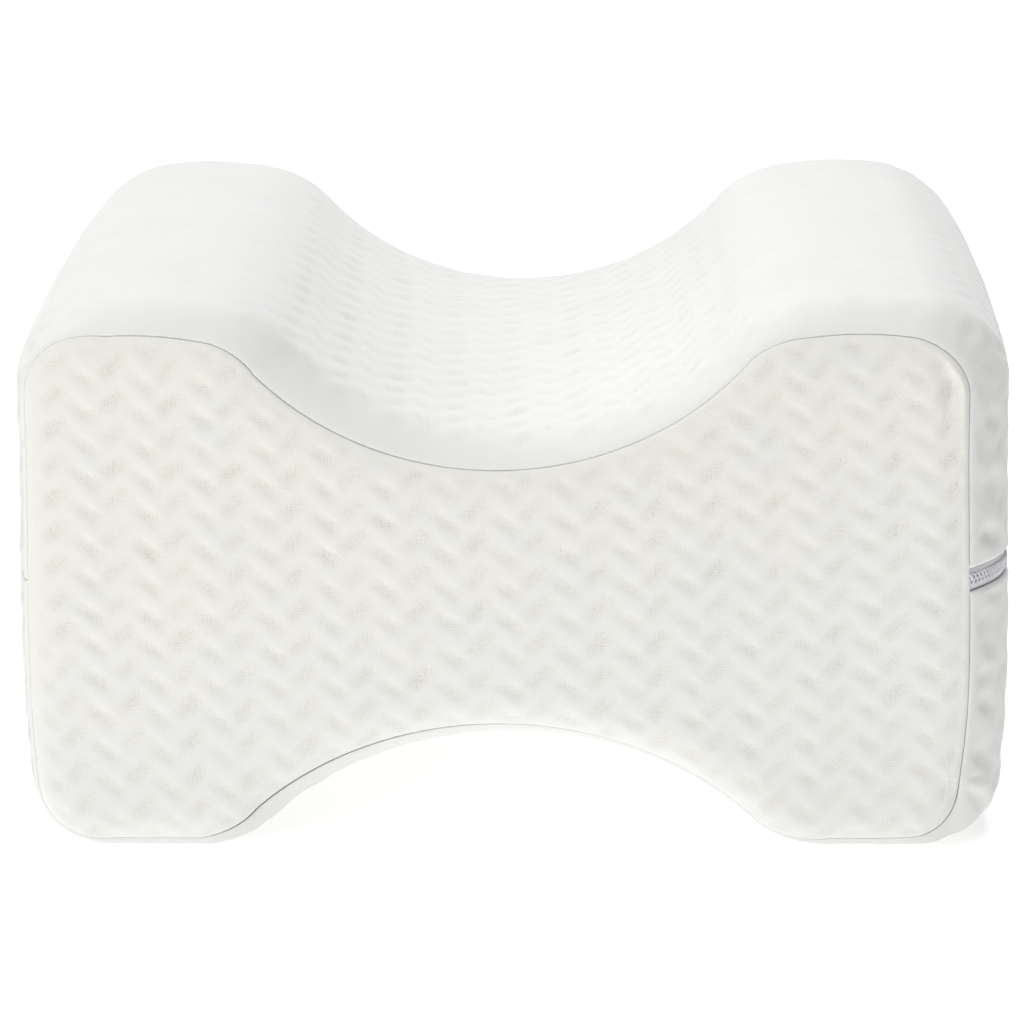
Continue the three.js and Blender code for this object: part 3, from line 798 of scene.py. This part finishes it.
def slider_pull():
    """The pull: a flat tab with a half-round end and a slot. One loop of rings runs over its face
    from the slot's rim to the outer rim, round the edge, back under it and through the slot."""
    hook = over_side(0.0, 0.0, BRIDGE["over"] - PULL["thick"] / 2 - 0.1)
    down = over_side(0.0, -PULL["length"], PULL["droop"]) - hook
    down /= np.linalg.norm(down)
    ahead = over_side(1.0, 0.0, 0.0) - over_side(-1.0, 0.0, 0.0)
    out = np.cross(ahead, down)
    out /= np.linalg.norm(out)
    across = np.cross(down, out)
    angle = np.linspace(0, 2 * np.pi, 2 * ROUND_STEPS + 1)[:-1]
    x, y = np.cos(angle), np.sin(angle)

    def tab(half_width, top, bottom):
        """A tab's outline: half circles at both ends, as far apart as its length leaves."""
        reach = np.where(y > 0, bottom - half_width, top + half_width)
        return np.stack([half_width * x, reach + half_width * y])

    rims = []
    for side in (1, -1):
        inset = np.array([0.0, PULL["bevel"]])[::-side]
        lift = side * (PULL["thick"] / 2 - np.array([PULL["bevel"], 0.0])[::-side])
        outer = [(tab(PULL["half_width"] - i, -1.0 + i, PULL["length"] - 1.0 - i), h)
                 for i, h in zip(inset, lift)]
        slot = [(tab(SLOT["half_width"] + i, SLOT["low"] - 0.7 - i, SLOT["high"] + i), h)
                for i, h in zip(inset, lift)]
        rims += slot[::-1] + outer if side > 0 else outer + slot[::-1]
    rings = np.stack([hook + across * o[0][:, None] + down * o[1][:, None] + out * h for o, h in rims])
    number = np.arange(rings[..., 0].size).reshape(rings.shape[:2])
    looped = np.vstack([number, number[:1]])
    closed = np.hstack([looped, looped[:, :1]])
    faces = [np.concatenate([quads(a, b) for a, b in zip(closed[:-1], closed[1:])])]
    return new_piece("slider_pull", rings, faces, smooth_shaded=False)


enamel = plain_cloth("pale_enamel", (0.70, 0.70, 0.71), 0.35, 2.4, 0.01)
for made in (slider_plate(), slider_bridge(), slider_pull()):
    made.data.materials.append(enamel)
    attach(made, "root")
    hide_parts("zip_slider")


# The stage: a plain pale floor, soft light from above and from the front left, and the camera at the
# photograph's angle, whose place was worked out from the pillow's outline and seams there.

FOCAL_PIXELS = 3734.9
PICTURE_PIXELS = 1024
SENSOR = 36.0
CAMERA_PLACE = Vector((0.022387, -0.973639, 0.377351))
PITCH, YAW, ROLL = np.radians((17.794, -1.436, -0.499))

forward = Vector((np.sin(YAW) * np.cos(PITCH), np.cos(YAW) * np.cos(PITCH), -np.sin(PITCH)))
level_right = Vector((np.cos(YAW), -np.sin(YAW), 0))
level_up = level_right.cross(forward)
right = level_right * np.cos(ROLL) + level_up * np.sin(ROLL)
up = level_up * np.cos(ROLL) - level_right * np.sin(ROLL)
turned = Matrix((right, up, -forward)).transposed().to_4x4()
lens = bpy.data.cameras.new("camera")
lens.sensor_width = SENSOR
lens.lens = FOCAL_PIXELS / PICTURE_PIXELS * SENSOR
camera = bpy.data.objects.new("camera", lens)
camera.matrix_world = Matrix.Translation(CAMERA_PLACE) @ turned
bpy.context.scene.collection.objects.link(camera)
bpy.context.scene.camera = camera

FLOOR_HALF = 4000.0
FLOOR_GLOW = 0.4
square = FLOOR_HALF * np.array([(-1, -1, 0), (1, -1, 0), (1, 1, 0), (-1, 1, 0)])
floor = new_piece("floor", square, [np.array([[0, 1, 2, 3]])])
pale = bpy.data.materials.new("pale_floor")
pale.use_nodes = True
paint = pale.node_tree.nodes["Principled BSDF"].inputs
paint["Base Color"].default_value = (0.93, 0.93, 0.93, 1)
paint["Roughness"].default_value = 0.9
paint["Emission Color"].default_value = (1, 1, 1, 1)
paint["Emission Strength"].default_value = FLOOR_GLOW
floor.data.materials.append(pale)


LIGHT_AIM = Vector((0, 0, 0.07))
LIGHT_DISTANCE = 1.8
LIGHT_SIZE = 1.0
SKY_STRENGTH = 0.15


def soft_light(name, bearing, height, power, colour):
    """A square lamp that faces the pillow, at a bearing in degrees from the front, to the right, and
    a height in degrees over the floor."""
    turn, rise = np.radians((bearing, height))
    away = Vector((np.sin(turn) * np.cos(rise), -np.cos(turn) * np.cos(rise), np.sin(rise)))
    lamp = bpy.data.lights.new(name, "AREA")
    lamp.size = LIGHT_SIZE
    lamp.energy = power
    lamp.color = colour
    light = bpy.data.objects.new(name, lamp)
    light.location = LIGHT_AIM + away * LIGHT_DISTANCE
    light.rotation_euler = (-away).to_track_quat("-Z", "Y").to_euler()
    bpy.context.scene.collection.objects.link(light)


soft_light("front_left", -45, 15, 10.5, (1.0, 0.99, 0.95))
soft_light("front_high", 0, 60, 4.0, (1.0, 1.0, 1.0))
soft_light("overhead", 90, 86, 15.1, (0.99, 1.0, 1.0))
soft_light("rear_high", 180, 50, 14.2, (0.99, 1.0, 1.0))
sky = bpy.data.worlds.new("soft_sky")
sky.use_nodes = True
sky.node_tree.nodes["Background"].inputs["Color"].default_value = (1, 1, 1, 1)
sky.node_tree.nodes["Background"].inputs["Strength"].default_value = SKY_STRENGTH
bpy.context.scene.world = sky
bpy.context.scene.view_settings.view_transform = "Standard"
